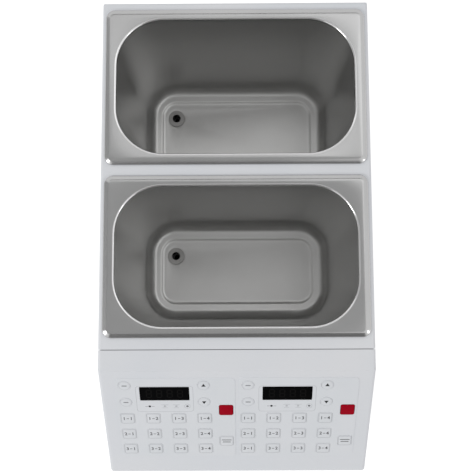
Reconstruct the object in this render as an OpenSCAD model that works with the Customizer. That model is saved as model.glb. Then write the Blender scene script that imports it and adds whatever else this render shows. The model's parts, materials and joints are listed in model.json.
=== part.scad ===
// Two-tank fructose dispenser for the counter.
// X to the right, Y to the back, Z up. The origin is on the table, under the middle of the machine.

/* [Covers] */
// Width across the top covers
cover_w = 273; // [270:0.5:285]
// Height of the deck above the table
deck_h = 446; // [436:1:480]
// Thickness of the folded cover sheet
cover_t = 1.5; // [1.2:0.1:2]
// Outside radius of the long bends of the covers
cover_bend_r = 3.5; // [2.5:0.1:5]
// Depth of the turned-down sides of the covers
cover_side = 14; // [10:1:16]
// Open seam between the deck and the control panel
seam_gap = 0.6; // [0.4:0.1:1]
// Clearance between a cover and the shell inside it
cover_fit = 0.1; // [0.1:0.05:0.3]

/* [Top layout] */
// From the back edge of the deck to the rear pan
rear_margin = 8.5; // [7:0.5:12]
// Strip of deck between the two pans
pan_gap = 11.2; // [9:0.1:16]
// Strip of deck between the front pan and the seam
seam_margin = 11.5; // [10:0.1:16]
// Flat strip of the control panel, from the seam to the fold
strip_len = 20.8; // [18:0.1:26]
// How far the sloping panel reaches forward
panel_run = 109.5; // [106:0.5:118]
// How far the sloping panel drops
panel_drop = 95.2; // [90:0.1:104]
// Height of the front lip below the sloping panel
lip_h = 28; // [22:1:36]

/* [Shell and base] */
// Thickness of the shell and base sheet
wall_t = 1.2; // [1:0.1:1.6]
// Height of the shelf over the drip tray
shelf_h = 62; // [58:1:70]
// Inside radius of the bend between splash wall and head
bay_r = 1.2; // [1:0.1:24]
// Inside radius of the side walls' corner at the shelf
shelf_r = 1.5; // [1:0.5:10]
// Width of the shell's flanges
flange_w = 11; // [8:1:12]
// Border of the rear frame around its opening
frame_w = 22; // [18:1:28]
// Height of the base pan's turned-up sides
base_side = 18; // [12:1:24]
// Height of the feet
foot_h = 14; // [10:1:20]
// Radius of the feet
foot_r = 14; // [10:1:16]
// Distance of a foot's centre from the sides of the machine
foot_inset = 26; // [20:1:32]

/* [Pans] */
// Strip of deck beside the pans
pan_side = 4; // [4:0.25:5.5]
// Width of a pan over its flange
pan_w = 162; // [160:0.5:163]
// Depth of a pan, from the flange to the floor
pan_depth = 200; // [150:5:200]
// Thickness of the pan sheet
pan_t = 0.8; // [0.6:0.1:1]
// Height of the flange over the deck
rim_h = 4.2; // [3:0.1:6]
// Corner radius of the flange
rim_r = 9; // [8.5:0.5:14]
// Width of the flange's sloping border
border_w = 4.8; // [4:0.1:6]
// How far the sloping border drops
border_h = 2.2; // [1.5:0.1:2.6]
// Width of the flange at the pan's ends
flange_end = 11.5; // [11:0.1:13.5]
// Width of the flange along the pan's sides
flange_long = 11; // [10.5:0.1:12.5]
// Corner radius of the opening
open_r = 48; // [40:1:52]
// How far the end walls lean in
lean_end = 12.5; // [10:0.5:16]
// How far the long walls lean in
lean_long = 12; // [10:0.5:14]
// Corner radius of the floor
floor_r = 36; // [30:1:42]
// Height of the sloped foot of the wall
floor_rise = 8; // [6:0.5:12]
// How far the foot of the wall turns in
floor_turn = 9; // [7:0.5:11]
// Ledge of the floor at the ends of its sunk middle
ledge_end = 6.5; // [5.5:0.5:9.5]
// Ledge of the floor along its sunk middle
ledge_long = 9; // [8:0.5:13]
// Corner radius of the sunk middle
sunk_r = 14; // [8:1:20]
// Depth of the sunk middle
sunk_depth = 1.5; // [1:0.1:2]
// Drain from the end of the sunk middle
drain_end = 18; // [13:0.5:23]
// Drain from the long side of the sunk middle
drain_long = 21; // [16:0.5:25]
// Clearance between the deck and the pan body
pan_clear = 1.5; // [1:0.1:2.5]

/* [Outlets, hoses and spouts] */
// Length of the outlet's threaded stud
stud_len = 14; // [12:1:20]
// Radius of the outlet bush inside the pan
bush_flange_r = 10; // [9:0.1:12]
// Thickness of that bush flange
bush_flange_t = 1.5; // [1:0.1:2]
// Radius of the bush where it passes the floor
bush_r = 6.4; // [6:0.1:7]
// Radius of the drain bore at the top
drain_r = 5; // [4.4:0.1:5.2]
// Radius of the syrup bores
bore_r = 2.8; // [2:0.1:3]
// Inside radius of the hoses
hose_in_r = 4; // [3.8:0.1:4.6]
// Wall of the hoses
hose_wall = 2; // [1.5:0.1:2.5]
// Bend radius of the hoses
hose_bend = 22; // [18:1:24]
// Length of hose pushed on a barb
hose_grip = 13; // [10:1:16]
// Clearance of fitted round parts
fit_gap = 0.05; // [0.03:0.01:0.1]
// Thickness of the hexagon nuts and collars
nut_h = 7; // [5:1:9]
// Radius of the hexagons over their corners
hex_r = 11; // [10:0.5:12]
// Height of the hoses' run through the head, over the head's underside
head_run_h = 51; // [50:1:53]
// Distance of the spouts in front of the splash wall
spout_reach = 66; // [62:1:70]
// How far the spout tips reach below the head
spout_drop = 34; // [28:1:40]
// Radius of the spout tip
spout_tip_r = 5.5; // [4.5:0.1:7]
// Radius of the spout body
spout_r = 8; // [7.5:0.1:9]
// Radius of the spout flange
spout_flange_r = 13; // [12:0.5:16]

/* [Pumps] */
// Teeth of each pump gear
gear_teeth = 12; // [12:2:14]
// Gear module
gear_module = 1.5; // [1.4:0.05:1.6]
// Thinning of the gear teeth at the pitch circle
gear_backlash = 0.3; // [0.25:0.05:0.4]
// Width of the gears
gear_w = 10; // [8:0.5:12]
// Running clearance at the gears' tips
tip_gap = 0.2; // [0.15:0.05:0.3]
// Running clearance at the gears' faces
face_gap = 0.1; // [0.05:0.05:0.2]
// Radius of the drive shaft
shaft_r = 3; // [2.5:0.1:3.2]
// Radius of the idler's journals
journal_r = 2.5; // [2:0.1:3]
// Depth of the blind bearings
bearing_depth = 4; // [3:0.5:5]
// Wall of the pump body around the gears
pump_wall = 8; // [6:0.5:9]
// Thickness of the pump body behind the gears
pump_back = 8; // [6:0.5:10]
// Thickness of the pump cover
pump_cover_t = 6; // [5.5:0.5:8]
// Height of the drive shaft over the base
shaft_h = 32; // [30:0.5:36]
// Radius of the pump motors
motor_r = 18.5; // [16:0.5:20]
// Length of the pump motors
motor_len = 58; // [50:1:60]
// Radius of the bend of the suction elbow
elbow_r = 12; // [10:1:14]

/* [Keypads] */
// Distance between the centres of the two keypads
pad_pitch = 122.8; // [121:0.1:124]
// Width of a keypad face
pad_w = 119; // [116:0.5:120]
// Height of a keypad face along the slope
pad_h = 112; // [108:0.5:114]
// Middle of a keypad below the fold, along the slope
pad_s = 65; // [63:0.5:67]
// Corner radius of a keypad face
pad_r = 5; // [3:0.5:8]
// Thickness of the keypad face
pad_t = 0.5; // [0.3:0.1:0.8]
// Distance between key columns
key_pitch_x = 26.2; // [25:0.1:26.8]
// Distance between key rows along the slope
key_pitch_s = 22.4; // [21.5:0.1:23]
// Width of the square keys
key_w = 14.2; // [13:0.1:15]
// Corner radius of the square keys
key_r = 2; // [1:0.1:5]
// Radius of the round keys
round_key_r = 6; // [5:0.1:6.8]
// How far the keys stand out of the keypad face
key_proud = 0.3; // [0.2:0.1:0.6]
// Thickness of a key's cap
key_t = 1.8; // [1.6:0.1:2.2]
// Gap around a key
key_gap = 0.3; // [0.3:0.05:0.4]
// Travel of a key
key_travel = 0.4; // [0.3:0.05:0.6]
// Radius of a key's plunger
plunger_r = 2; // [1.5:0.1:2.5]
// Width of a display window
window_w = 49.2; // [47:0.1:51]
// Height of a display window along the slope
window_h = 18; // [16:0.1:19]
// Radius of an indicator light
light_r = 1.2; // [0.8:0.1:1.6]
// Distance from the control panel to the circuit board
board_gap = 9; // [8.6:0.1:10]
// Thickness of the circuit boards
board_t = 1.6; // [1.2:0.1:2]
// Height of a key switch
switch_h = 4.3; // [3.5:0.1:4.5]
// Width of a key switch
switch_w = 6.2; // [5:0.1:7]

/* [Drip tray] */
// Thickness of the tray sheet
tray_t = 1.2; // [1:0.1:1.6]
// Thickness of the tray's front
tray_front_t = 2; // [1.5:0.1:3]
// Clearance around the tray
tray_gap = 1; // [0.6:0.1:1.5]
// Gap under the tray
tray_lift = 0.1; // [0.1:0.05:0.3]
// Width of the ledge that carries the grid
ledge_w = 4; // [3:0.5:6]
// Thickness of the grid
grid_t = 2; // [1.5:0.1:3]
// Clearance around the grid
grid_gap = 0.5; // [0.3:0.1:1]
// Depth of the grid below the shelf
grid_sink = 1.5; // [1:0.1:3]
// Width of a slot in the grid
slot_w = 6; // [5:0.5:7]
// Distance between the slots
slot_pitch = 12; // [11:0.5:14]
// Border of the grid around its slots
grid_border = 12; // [10:1:16]
// Width of the finger notch in the tray's front
notch_w = 70; // [50:1:90]
// Depth of the finger notch
notch_h = 9; // [6:0.5:11]

/* [Rear cover and inlet] */
// Overlap of the rear cover on the frame
cover_lap = 12; // [9:1:14]
// Length of a vent slot
vent_l = 60; // [40:1:70]
// Height of a vent slot
vent_h = 4; // [3:0.5:5]
// Distance between vent slots
vent_pitch = 12; // [10:0.5:14]
// Rows of vent slots
vent_rows = 8; // [4:1:10]
// Inlet module in from the side of the shell
inlet_side = 52.9; // [51:0.1:64]
// Inlet module above the table
inlet_z = 84; // [80:1:100]
// Width of the inlet module's body
inlet_w = 28; // [27:0.5:30]
// Height of the inlet module's body
inlet_h = 50; // [50:0.5:54]
// Depth of the inlet module's body
inlet_depth = 24; // [22:1:30]
// Overhang of the inlet module's flange
inlet_lap = 4; // [3:0.5:6]
// Thickness of the inlet module's flange
inlet_flange_t = 2.5; // [2:0.1:3]
// Width of the inlet socket
socket_w = 24.4; // [24:0.1:25]
// Height of the inlet socket
socket_h = 16.8; // [16:0.1:17]
// Depth of the inlet socket
socket_depth = 17; // [16:0.5:19]
// Length of the inlet pins
pin_len = 11; // [9:0.5:12]
// Width of the rocker
rocker_w = 12.4; // [11:0.1:13]
// Height of the rocker
rocker_h = 18; // [16:0.1:19]
// Tilt of the rocker to either side
rocker_tilt = 9; // [6:0.5:10]

/* [Hidden] */
$fn = 64;
far = 600;
cut = 1;
bend_step = 0.1;

sides = ["left", "right"];
rows = [1, 2, 3];
columns = [1, 2, 3, 4];
dose_names = [for (s = sides, r = rows, c = columns) str(s, "_dose_key_", r, "_", c)];
plain_keys = ["upper_round_key", "lower_round_key", "up_key", "down_key", "stop_key", "feed_key"];
plain_names = [for (s = sides, k = plain_keys) str(s, "_", k)];

// Colours
white = [0.84, 0.84, 0.85];
key_white = [0.86, 0.87, 0.88];
steel = [0.62, 0.61, 0.59];
bright_steel = [0.78, 0.78, 0.77];
black = [0.03, 0.03, 0.035];
red = [0.62, 0.02, 0.06];
rubber = [0.08, 0.08, 0.08];
clear_hose = [0.80, 0.78, 0.68];
board_green = [0.05, 0.28, 0.14];
motor_grey = [0.35, 0.36, 0.38];

// Pans
pan_l = cover_w - 2 * pan_side;
open_l = pan_l - 2 * flange_end;
open_w = pan_w - 2 * flange_long;
floor_l = open_l - 2 * lean_end;
floor_w = open_w - 2 * lean_long;
sunk_l = floor_l - 2 * floor_turn - 2 * ledge_end;
sunk_w = floor_w - 2 * floor_turn - 2 * ledge_long;
drain_x = sunk_l / 2 - drain_end;
drain_y = sunk_w / 2 - drain_long;

// Lengthwise places
column_len = rear_margin + 2 * pan_w + pan_gap + seam_margin;
rocker_end = rocker_h / 2;
rocker_edge = 3;
rocker_back = 6;
rocker_pivot_in = 1;
rocker_out = rocker_edge * cos(rocker_tilt) + rocker_end * sin(rocker_tilt) - rocker_pivot_in;
cover_plate_in = cover_t + cover_fit;
rear_proud = inlet_flange_t + rocker_out - (cover_plate_in - wall_t);
total_len = column_len + strip_len + panel_run + rear_proud;
front_y = -total_len / 2;
fold_y = front_y + panel_run;
seam_y = fold_y + strip_len;
deck_back = seam_y + column_len;
rear_pan_y = deck_back - rear_margin - pan_w / 2;
front_pan_y = rear_pan_y - pan_w - pan_gap;
pan_ys = [rear_pan_y, front_pan_y];
splash_y = seam_y;

// Crosswise places
shell_w = cover_w - 2 * cover_t - 2 * cover_fit;
wall_in = shell_w / 2 - wall_t;
inlet_x = shell_w / 2 - inlet_side;

// Heights
slope = atan(panel_drop / panel_run);
slope_len = norm([panel_run, panel_drop]);
panel_end_z = deck_h - panel_drop;
head_z = panel_end_z - lip_h;
base_z = foot_h + cover_t;
wall_top = deck_h - cover_t;
shell_back = deck_back - cover_plate_in;
lip_in = front_y + cover_t;
fold_in = fold_y + cover_t * tan(slope / 2);
slope_in_z = panel_end_z - cover_t * tan((90 - slope) / 2);
flange_y = seam_y + seam_gap / 2 + cover_t + cover_fit;
bend_flat = (cover_bend_r - cover_t) / 2;

rim_z = deck_h + rim_h;
floor_z = rim_z - pan_depth;
pan_bottom = floor_z - pan_t;

// Pumps: the shaft runs along X, and the idler lies over the drive gear
centre_dist = gear_module * gear_teeth;
pitch_r = centre_dist / 2;
tip_r = pitch_r + 0.8 * gear_module;
root_r = pitch_r - 1.15 * gear_module;
base_r = pitch_r * cos(20);
gear_room_r = tip_r + tip_gap;
gear_room_w = gear_w + 2 * face_gap;
pump_half = gear_room_r + pump_wall;
collar_len = 5;
port_h = centre_dist / 2;
barb_len = collar_len + hose_grip;
elbow_out = pump_half + collar_len + elbow_r;
shaft_z = base_z + shaft_h;
port_z = shaft_z + port_h;
front_drain_y = front_pan_y + drain_y;
rear_drain_y = rear_pan_y + drain_y;
front_pump_y = front_drain_y - elbow_out;
rear_pump_y = rear_drain_y - elbow_out;
elbow_top = port_z + elbow_r + hose_grip;
barb_r = hose_in_r - fit_gap;
riser_y = splash_y + wall_t + hose_in_r + hose_wall + 6;
outlet_len = stud_len + hose_grip;
outlet_end = pan_bottom - outlet_len;
run_z = head_z + head_run_h;
spout_y = splash_y - spout_reach;
spout_barb = 12 + hose_grip;
motor_in = gear_room_w / 2 + pump_back;

// Keypads: s runs down the slope from the fold, and the third value is the height over the panel
dose_s = [for (r = rows) 64.6 + (r - 1) * key_pitch_s];
round_s = [dose_s[0] - 2 * key_pitch_s - 1, dose_s[0] - key_pitch_s - 0.7];
side_key_s = [(round_s[1] + dose_s[0]) / 2, (dose_s[1] + dose_s[2]) / 2];
window_s = 29.9;
light_s = 47.4;
light_xs = [23.6, 38.9, 50.4, 61.6];
window_x = 1.5 * key_pitch_x;
side_key_x = 100.6;
key_bottom = pad_t + key_proud - key_t;
board_front = -cover_t - board_gap;
display_h = 8;
display_top = board_front + display_h;
plunger_end = board_front + switch_h + key_travel + 0.1;
board_w = 117;
board_len = 112;
post_r = 2.5;
post_inset = 3;

// Each key: name, column place, slope place, round or not
function key_list() = concat(
    [for (r = rows, c = columns)
        [str("dose_key_", r, "_", c), (c - 1) * key_pitch_x, dose_s[r - 1], false]],
    [
        ["upper_round_key", 0, round_s[0], true],
        ["lower_round_key", 0, round_s[1], true],
        ["up_key", 3 * key_pitch_x, round_s[0], true],
        ["down_key", 3 * key_pitch_x, round_s[1], true],
        ["stop_key", side_key_x, side_key_s[0], false],
        ["feed_key", side_key_x, side_key_s[1], false]
    ]
);
keys = key_list();

function pad_centre(side) = side == "left" ? -pad_pitch / 2 : pad_pitch / 2;
function pad_origin(side) = pad_centre(side) - side_key_x / 2;

// ---- Helpers ----

// Rounded rectangle about the origin
module round_rect(l, w, r) {
    square([l - 2 * r, w], center = true);
    square([l, w - 2 * r], center = true);
    for (x = [-1, 1], y = [-1, 1])
        translate([x * (l / 2 - r), y * (w / 2 - r)])
            circle(r = r);
}

module slab(l, w, r, h) {
    linear_extrude(h)
        round_rect(l, w, r);
}

// A Y-Z outline pulled out along X
module across(x0, x1) {
    translate([x0, 0, 0])
        rotate([90, 0, 90])
            linear_extrude(x1 - x0)
                children();
}

// A section with both top corners rounded, hanging down from y = 0
module top_rounded(w, h, r) {
    translate([-w / 2, -h])
        square([w, h - r]);
    translate([-w / 2 + r, -r])
        square([w - 2 * r, r]);
    for (x = [-1, 1])
        translate([x * (w / 2 - r), -r])
            circle(r = r);
}

// The same with both top corners cut off straight
module top_bevelled(w, h, c) {
    polygon([
        [-w / 2, -h],
        [w / 2, -h],
        [w / 2, -c],
        [w / 2 - c, 0],
        [-w / 2 + c, 0],
        [-w / 2, -c]
    ]);
}

// A place on the sloping panel: X right, Y up the slope, Z out of the panel
module on_panel(x, s, h) {
    translate([0, fold_y, deck_h])
        rotate([slope, 0, 0])
            translate([x, -s, h])
                children();
}

module for_pads() {
    for (side = sides)
        translate([pad_origin(side), 0, 0])
            children();
}

// Outline of a key, with a margin
module key_shape(is_round, margin) {
    if (is_round)
        circle(r = round_key_r + margin);
    else
        round_rect(key_w + 2 * margin, key_w + 2 * margin, key_r + margin);
}

// Holes for everything that comes through the panel and the keypad faces
module panel_holes(z0, z1) {
    for_pads() {
        for (k = keys)
            on_panel(k[1], k[2], z0)
                linear_extrude(z1 - z0)
                    key_shape(k[3], key_gap);
        on_panel(window_x, window_s, z0)
            linear_extrude(z1 - z0)
                round_rect(window_w + 2 * key_gap, window_h + 2 * key_gap, 1);
        for (x = light_xs)
            on_panel(x, light_s, z0)
                cylinder(r = light_r + fit_gap, h = z1 - z0);
    }
}

// A run of hose from the origin up Z: numbers go straight, ["turn", roll] bends a quarter
module run(steps, r, i = 0) {
    if (i < len(steps)) {
        step = steps[i];
        if (is_num(step)) {
            cylinder(r = r, h = step);
            translate([0, 0, step])
                run(steps, r, i + 1);
        } else {
            rotate([0, 0, step[1]]) {
                translate([hose_bend, 0, 0])
                    rotate([90, 0, 0])
                        rotate([0, 0, 90])
                            rotate_extrude(angle = 90)
                                translate([hose_bend, 0])
                                    circle(r = r);
                translate([hose_bend, 0, hose_bend])
                    rotate([0, 90, 0])
                        run(steps, r, i + 1);
            }
        }
    }
}

module hose(steps) {
    difference() {
        run(steps, hose_in_r + hose_wall);
        run(steps, hose_in_r);
    }
}

module hexagon(h) {
    cylinder(r = hex_r, h = h, $fn = 6);
}

// ---- Shell, base and covers ----

// The side of the machine without its bay
module side_outline() {
    polygon([
        [shell_back, foot_h],
        [shell_back, wall_top],
        [fold_in, wall_top],
        [lip_in, slope_in_z],
        [lip_in, foot_h]
    ]);
}

// The open bay under the head, grown by a sheet thickness
module bay(grow, low) {
    r = bay_r + grow;
    back = splash_y + grow;
    top = head_z + grow;
    translate([front_y - cut, low])
        square([back - front_y + cut, top - r - low]);
    translate([front_y - cut, top - r])
        square([back - r - front_y + cut, r]);
    translate([back - r, top - r])
        circle(r = r);
}

// The bay as the side walls show it, with a rounded corner at the shelf
module bay_window() {
    difference() {
        bay(0, shelf_h);
        translate([splash_y - shelf_r, shelf_h])
            difference() {
                square([shelf_r, shelf_r]);
                translate([0, shelf_r])
                    circle(r = shelf_r);
            }
    }
}

module spout_places() {
    for (x = [-1, 1])
        translate([x * drain_x, spout_y, head_z])
            children();
}

// Everything under the deck, the slope and the lip, drawn in by an inset.
// The slope takes the second section, which differs a little, so that no two edges nearly meet.
module front_form(inset) {
    intersection() {
        translate([0, far, deck_h - inset])
            rotate([90, 0, 0])
                linear_extrude(2 * far)
                    children(0);
        on_panel(0, 0, -inset)
            translate([0, far, 0])
                rotate([90, 0, 0])
                    linear_extrude(2 * far)
                        children(1);
        translate([0, front_y + inset, 0])
            mirror([0, 1, 0])
                linear_extrude(far)
                    children(0);
    }
}

// The space inside the covers, with their inner bends carried on over the whole shell
module shell_form() {
    r = cover_bend_r - cover_t;
    intersection() {
        front_form(cover_t) {
            top_rounded(shell_w, far, r);
            top_rounded(shell_w, far, r + bend_step);
        }
        across(-far, far)
            translate([shell_back - far / 2, wall_top])
                top_rounded(far, far, r);
        translate([0, shell_back, 0])
            linear_extrude(far)
                top_rounded(shell_w, far, r);
    }
}

module body_shell() {
    color(white)
        intersection() {
            shell_form();
            difference() {
                union() {
                    for (side = [-1, 1])
                        across(side * shell_w / 2 - (side > 0 ? wall_t : 0),
                               side * shell_w / 2 + (side > 0 ? 0 : wall_t))
                            difference() {
                                side_outline();
                                bay_window();
                            }
                    // splash wall and head underside in one bent sheet
                    across(-wall_in, wall_in)
                        intersection() {
                            difference() {
                                bay(wall_t, base_z);
                                bay(0, foot_h);
                            }
                            translate([lip_in, foot_h])
                                square([far, far]);
                        }
                    // rear frame
                    translate([-wall_in, shell_back - wall_t, foot_h])
                        cube([2 * wall_in, wall_t, wall_top - foot_h]);
                    // flanges that carry the deck
                    for (side = [-1, 1])
                        translate([side > 0 ? wall_in - flange_w : -wall_in, flange_y, wall_top - wall_t])
                            cube([flange_w, shell_back - flange_y, wall_t]);
                }
                // opening of the rear frame
                translate([0, shell_back + cut, (foot_h + base_side + wall_top) / 2])
                    rotate([90, 0, 0])
                        slab(
                            shell_w - 2 * frame_w,
                            wall_top - foot_h - base_side - 2 * frame_w,
                            8,
                            wall_t + 2 * cut
                        );
                spout_places()
                    translate([0, 0, -cut])
                        cylinder(r = spout_stud_r + 0.3, h = wall_t + 2 * cut);
            }
        }
}

module pump_frames() {
    translate([-drain_x, front_pump_y, shaft_z])
        children();
    translate([drain_x, rear_pump_y, shaft_z])
        mirror([1, 0, 0])
            children();
}

module base_pan() {
    pan_back = shell_back - wall_t;
    pan_half = wall_in;
    color(white) {
        // floor
        translate([-pan_half, lip_in + tray_front_t, foot_h])
            cube([2 * pan_half, pan_back - lip_in - tray_front_t, cover_t]);
        // turned-up sides behind the splash wall
        for (side = [-1, 1])
            translate([
                side > 0 ? pan_half - cover_t : -pan_half,
                splash_y + wall_t + cover_fit,
                foot_h
            ])
                cube([cover_t, pan_back - splash_y - wall_t - cover_fit, base_side]);
        // motor cradles
        pump_frames()
            translate([motor_in + motor_len * 0.6, 0, -shaft_h])
                difference() {
                    translate([0, -motor_r, 0])
                        cube([8, 2 * motor_r, shaft_h - motor_r * 0.4]);
                    translate([-cut, 0, shaft_h])
                        rotate([0, 90, 0])
                            cylinder(r = motor_r + fit_gap, h = 8 + 2 * cut);
                }
        // posts of the supply board
        for (x = [-1, 1], y = [-1, 1])
            translate([
                supply_x + x * (supply_l / 2 - post_inset),
                supply_y + y * (supply_w / 2 - post_inset),
                foot_h
            ])
                cylinder(r = post_r, h = cover_t + supply_lift);
    }
}

// Outer form of the deck cover, shrunk by an inset
module deck_form(inset, h) {
    w = cover_w - 2 * inset;
    y0 = seam_y + seam_gap / 2 + inset;
    y1 = deck_back - inset;
    top = deck_h - inset;
    r = cover_bend_r - inset;
    intersection() {
        translate([0, y1, top])
            rotate([90, 0, 0])
                linear_extrude(y1 - y0)
                    top_rounded(w, h, r);
        across(-w / 2, w / 2) {
            translate([y0, top - h])
                square([y1 - y0, h - r]);
            translate([y0, top - r])
                square([y1 - y0 - r, r]);
            translate([y1 - r, top - r])
                circle(r = r);
        }
        translate([0, y1, top - h])
            linear_extrude(h)
                top_rounded(w, y1 - y0, r);
    }
}

module top_deck() {
    color(white)
        difference() {
            deck_form(0, cover_side);
            deck_form(cover_t, cover_side);
            for (y = pan_ys)
                translate([0, y, deck_h - cover_side])
                    slab(open_l + 2 * pan_clear, open_w + 2 * pan_clear, open_r + pan_clear, far);
            // room for the side walls at the seam
            for (side = [-1, 1])
                translate([
                    side > 0 ? wall_in - cover_fit : -cover_w / 2 + cover_t,
                    seam_y,
                    deck_h - cover_side - cut
                ])
                    cube([
                        cover_w / 2 - cover_t - wall_in + cover_fit,
                        seam_gap + cover_t + cover_fit,
                        cover_side + cut - cover_t
                    ]);
        }
}

module control_panel() {
    fold_half = wall_in - cover_fit;
    panel_y = seam_y - seam_gap / 2;
    color(white)
        difference() {
            union() {
                // flat strip, sloping panel and front lip, folded from one sheet
                difference() {
                    intersection() {
                        front_form(0) {
                            top_rounded(cover_w, far, cover_bend_r);
                            top_rounded(cover_w, far, cover_bend_r + bend_step);
                        }
                        translate([-far, front_y - cut, head_z])
                            cube([2 * far, panel_y - front_y + cut, far]);
                    }
                    front_form(cover_t) {
                        top_bevelled(cover_w - 2 * cover_t, far, bend_flat);
                        top_bevelled(cover_w - 2 * cover_t, far, bend_flat - bend_step);
                    }
                    across(-far, far)
                        polygon([
                            [panel_y + cut, deck_h - cover_side],
                            [fold_y + cover_side * tan(slope / 2), deck_h - cover_side],
                            [front_y + cover_side, panel_end_z - cover_side * tan((90 - slope) / 2)],
                            [front_y + cover_side, head_z - cut],
                            [panel_y + cut, head_z - cut]
                        ]);
                }
                // fold along the seam
                translate([-fold_half, panel_y - cover_t, deck_h - cover_side])
                    cube([2 * fold_half, cover_t, cover_side - cover_t / 2]);
                // posts behind the panel for the circuit boards
                for (side = sides, x = [-1, 1], y = [-1, 1])
                    on_panel(
                        pad_centre(side) + x * (board_w / 2 - post_inset),
                        pad_s + y * (board_len / 2 - post_inset),
                        board_front
                    )
                        cylinder(r = post_r, h = board_gap + cover_t / 2);
            }
            panel_holes(-cover_t - cut, cut);
        }
}

module rear_cover() {
    low = foot_h + base_side + frame_w - cover_lap;
    high = deck_h - cover_side - 1;
    color(white)
        difference() {
            translate([0, shell_back + wall_t, (low + high) / 2])
                rotate([90, 0, 0])
                    slab(shell_w - 2 * frame_w + 2 * cover_lap, high - low, 8, wall_t);
            for (x = [-1, 1], i = [0:vent_rows - 1])
                translate([x * (vent_l / 2 + 12), shell_back + wall_t + cut, high - 40 - i * vent_pitch])
                    rotate([90, 0, 0])
                        slab(vent_l, vent_h, vent_h / 2 - 0.01, wall_t + 2 * cut);
            translate([inlet_x, shell_back + wall_t + cut, inlet_z])
                rotate([90, 0, 0])
                    slab(inlet_w + 0.4, inlet_h + 0.4, 1.2, wall_t + 2 * cut);
        }
}

module feet() {
    color(rubber)
        for (x = [-1, 1], y = [-1, 1])
            translate([x * (shell_w / 2 - foot_inset), y * (total_len / 2 - foot_inset - cover_t), 0])
                difference() {
                    union() {
                        cylinder(r1 = foot_r - 2, r2 = foot_r - 1, h = 3);
                        translate([0, 0, 3])
                            cylinder(r = foot_r, h = foot_h - 3);
                    }
                    translate([0, 0, -cut])
                        cylinder(r = 4, h = 5 + cut);
                }
}

// ---- Pans ----

// The basin of a pan as a solid, with its wall drawn in by an inset
module pan_basin(inset, top) {
    hull() {
        translate([0, 0, rim_z - pan_t])
            slab(open_l - 2 * inset, open_w - 2 * inset, open_r - inset, top - rim_z + pan_t, $fn = 80);
        translate([0, 0, floor_z + floor_rise])
            slab(floor_l - 2 * inset, floor_w - 2 * inset, floor_r - inset, cut / 10, $fn = 80);
        translate([0, 0, floor_z + sunk_depth + inset])
            slab(
                floor_l - 2 * floor_turn - 2 * inset,
                floor_w - 2 * floor_turn - 2 * inset,
                floor_r - floor_turn - inset,
                cut / 10,
                $fn = 80
            );
    }
}

module pan(y) {
    under_w = border_w + pan_t;
    translate([0, y, 0])
        difference() {
            union() {
                // flange with its sloping border and turned-down edge
                difference() {
                    hull() {
                        translate([0, 0, deck_h])
                            slab(pan_l, pan_w, rim_r, rim_h - border_h, $fn = 64);
                        translate([0, 0, rim_z - cut / 10])
                            slab(
                                pan_l - 2 * border_w,
                                pan_w - 2 * border_w,
                                rim_r - border_w,
                                cut / 10,
                                $fn = 64
                            );
                    }
                    hull() {
                        translate([0, 0, deck_h - cut])
                            slab(
                                pan_l - 2 * pan_t,
                                pan_w - 2 * pan_t,
                                rim_r - pan_t,
                                rim_h - border_h - pan_t / 2 + cut,
                                $fn = 56
                            );
                        translate([0, 0, rim_z - pan_t - cut / 10])
                            slab(
                                pan_l - 2 * under_w,
                                pan_w - 2 * under_w,
                                rim_r - under_w,
                                cut / 10,
                                $fn = 56
                            );
                    }
                }
                pan_basin(-pan_t, rim_z - pan_t / 2);
                translate([0, 0, pan_bottom])
                    slab(sunk_l + 2 * pan_t, sunk_w + 2 * pan_t, sunk_r + pan_t, sunk_depth + pan_t);
            }
            pan_basin(0, rim_z + cut);
            translate([0, 0, floor_z])
                slab(sunk_l, sunk_w, sunk_r, 2 * sunk_depth);
            translate([-drain_x, drain_y, pan_bottom - cut])
                cylinder(r = bush_r + fit_gap, h = pan_t + 2 * cut);
        }
}

module rear_tank() {
    color(steel)
        pan(rear_pan_y);
}

module front_tank() {
    color(steel)
        pan(front_pan_y);
}

module tank_outlets() {
    color(bright_steel)
        for (y = [rear_drain_y, front_drain_y])
            translate([-drain_x, y, pan_bottom]) {
                // bush with its barb
                difference() {
                    union() {
                        translate([0, 0, pan_t])
                            cylinder(r = bush_flange_r, h = bush_flange_t);
                        translate([0, 0, -stud_len])
                            cylinder(r = bush_r, h = stud_len + pan_t + bush_flange_t / 2);
                        translate([0, 0, -outlet_len])
                            cylinder(r = barb_r, h = outlet_len);
                    }
                    translate([0, 0, -outlet_len - cut])
                        cylinder(r = bore_r, h = far);
                    translate([0, 0, 4 - stud_len])
                        cylinder(r = drain_r, h = far);
                }
                // nut
                translate([0, 0, -nut_h])
                    difference() {
                        hexagon(nut_h);
                        translate([0, 0, -cut])
                            cylinder(r = bush_r + fit_gap, h = nut_h + 2 * cut);
                    }
            }
}

// ---- Pumps and hoses ----

function rad(deg) = deg * PI / 180;
function roll_at(r) = acos(min(1, base_r / r));
function involute(deg) = tan(deg) - rad(deg);
function half_angle(r) =
    (PI / (2 * gear_teeth) - gear_backlash / (2 * pitch_r) + involute(20) - involute(roll_at(r))) * 180 / PI;
flank_rs = [for (i = [0:4]) base_r + (tip_r - base_r) * i / 4];
function flank(side) = [for (r = flank_rs) [r, side * half_angle(r)]];
tooth = concat(
    [[root_r, -half_angle(base_r)]],
    flank(-1),
    [for (i = [4:-1:0]) [flank_rs[i], half_angle(flank_rs[i])]],
    [[root_r, half_angle(base_r)]]
);

// A gear outline with a tooth on +X
module gear_outline() {
    polygon([for (k = [0:gear_teeth - 1], p = tooth)
        p[0] * [cos(p[1] + k * 360 / gear_teeth), sin(p[1] + k * 360 / gear_teeth)]]);
}

// A round bar along X, from x0 to x1
module bar(r, x0, x1) {
    translate([x0, 0, 0])
        rotate([0, 90, 0])
            cylinder(r = r, h = x1 - x0);
}

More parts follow.
